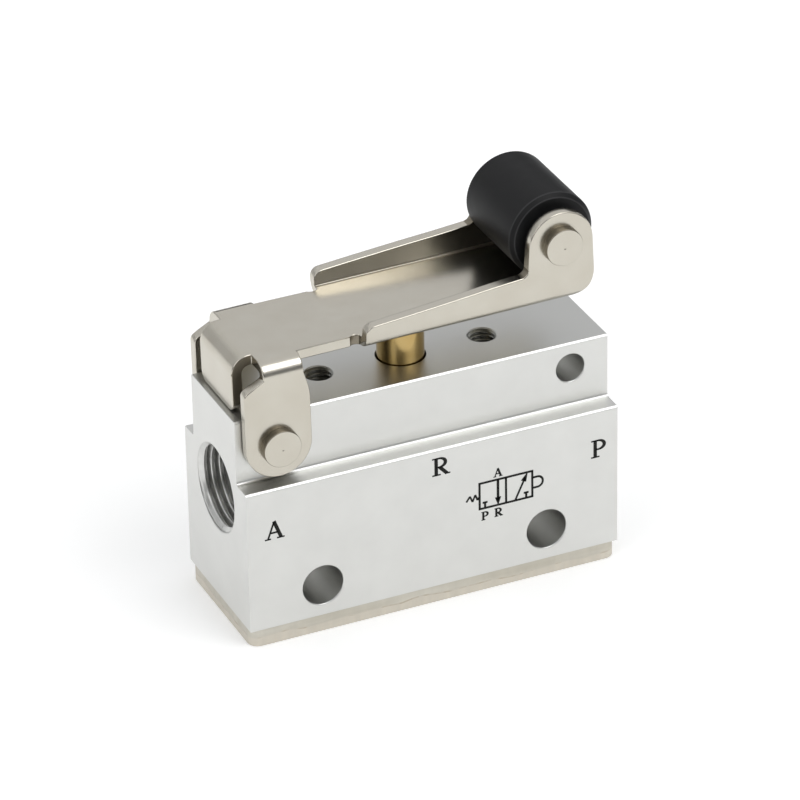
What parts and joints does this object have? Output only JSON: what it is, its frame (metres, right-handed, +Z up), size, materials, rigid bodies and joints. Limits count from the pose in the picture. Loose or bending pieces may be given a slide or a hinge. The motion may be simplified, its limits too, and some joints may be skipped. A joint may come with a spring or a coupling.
{
  "type": "roller lever air valve",
  "caption": "Small 3/2 air valve: aluminium block with end ports and cross holes, worked by a folded sheet lever with a black roller that presses a brass plunger.",
  "frame": {"origin": "on the underside of the bottom plate, in the middle of its length and width", "axes": "+X along the block towards the roller end, -Y out of the front face, +Z up along the plunger"},
  "size_m": [0.042, 0.0162, 0.0429],
  "materials": {
    "anodised_aluminium": "satin clear anodised",
    "nickel_plate": "semi-gloss nickel plated steel",
    "screw_steel": "zinc plated steel",
    "spring_steel": "drawn spring wire",
    "brass": "turned brass",
    "acetal": "moulded natural acetal",
    "nitrile": "black nitrile rubber",
    "roller_plastic": "satin black moulded plastic"
  },
  "bodies": {
    "housing": {"valve_body": "anodised_aluminium", "bottom_plate": "nickel_plate", "plate_screws": "screw_steel", "return_spring": "spring_steel", "plate_o_ring": "nitrile", "lower_sleeve": "brass", "inlet_cage": "acetal", "supply_seat": "brass", "outlet_cage": "acetal", "upper_sleeve": "brass", "lower_sleeve_o_ring": "nitrile", "supply_seat_o_ring": "nitrile", "upper_sleeve_o_ring": "nitrile"},
    "spool": {"plunger_spool": "brass", "lower_spool_o_ring": "nitrile", "supply_o_ring": "nitrile", "exhaust_o_ring": "nitrile"},
    "lever": {"lever": "nickel_plate", "pivot_pin": "nickel_plate", "roller_axle": "nickel_plate"},
    "roller": {"roller": "roller_plastic"}
  },
  "joints": [
    {"name": "lever_pivot", "type": "hinge", "parent": "housing", "child": "lever", "pos_m": [-0.0167, 0, 0.02265], "axis": [0, 1, 0], "range_deg": [0, 7.5], "stiffness_Nm_per_rad": 0.5, "springref_deg": -11.46},
    {"name": "plunger_slide", "type": "slide", "parent": "housing", "child": "spool", "axis": [0, 0, -1], "range_m": [0, 0.0022], "deforming": ["return_spring"]},
    {"name": "roller_spin", "type": "hinge", "parent": "lever", "child": "roller", "pos_m": [0.01499, 0, 0.03824], "axis": [0, 1, 0], "continuous": true}
  ],
  "couplings": [
    {"joint": "plunger_slide", "follows": "lever_pivot", "m_per_rad": 0.0167}
  ]
}
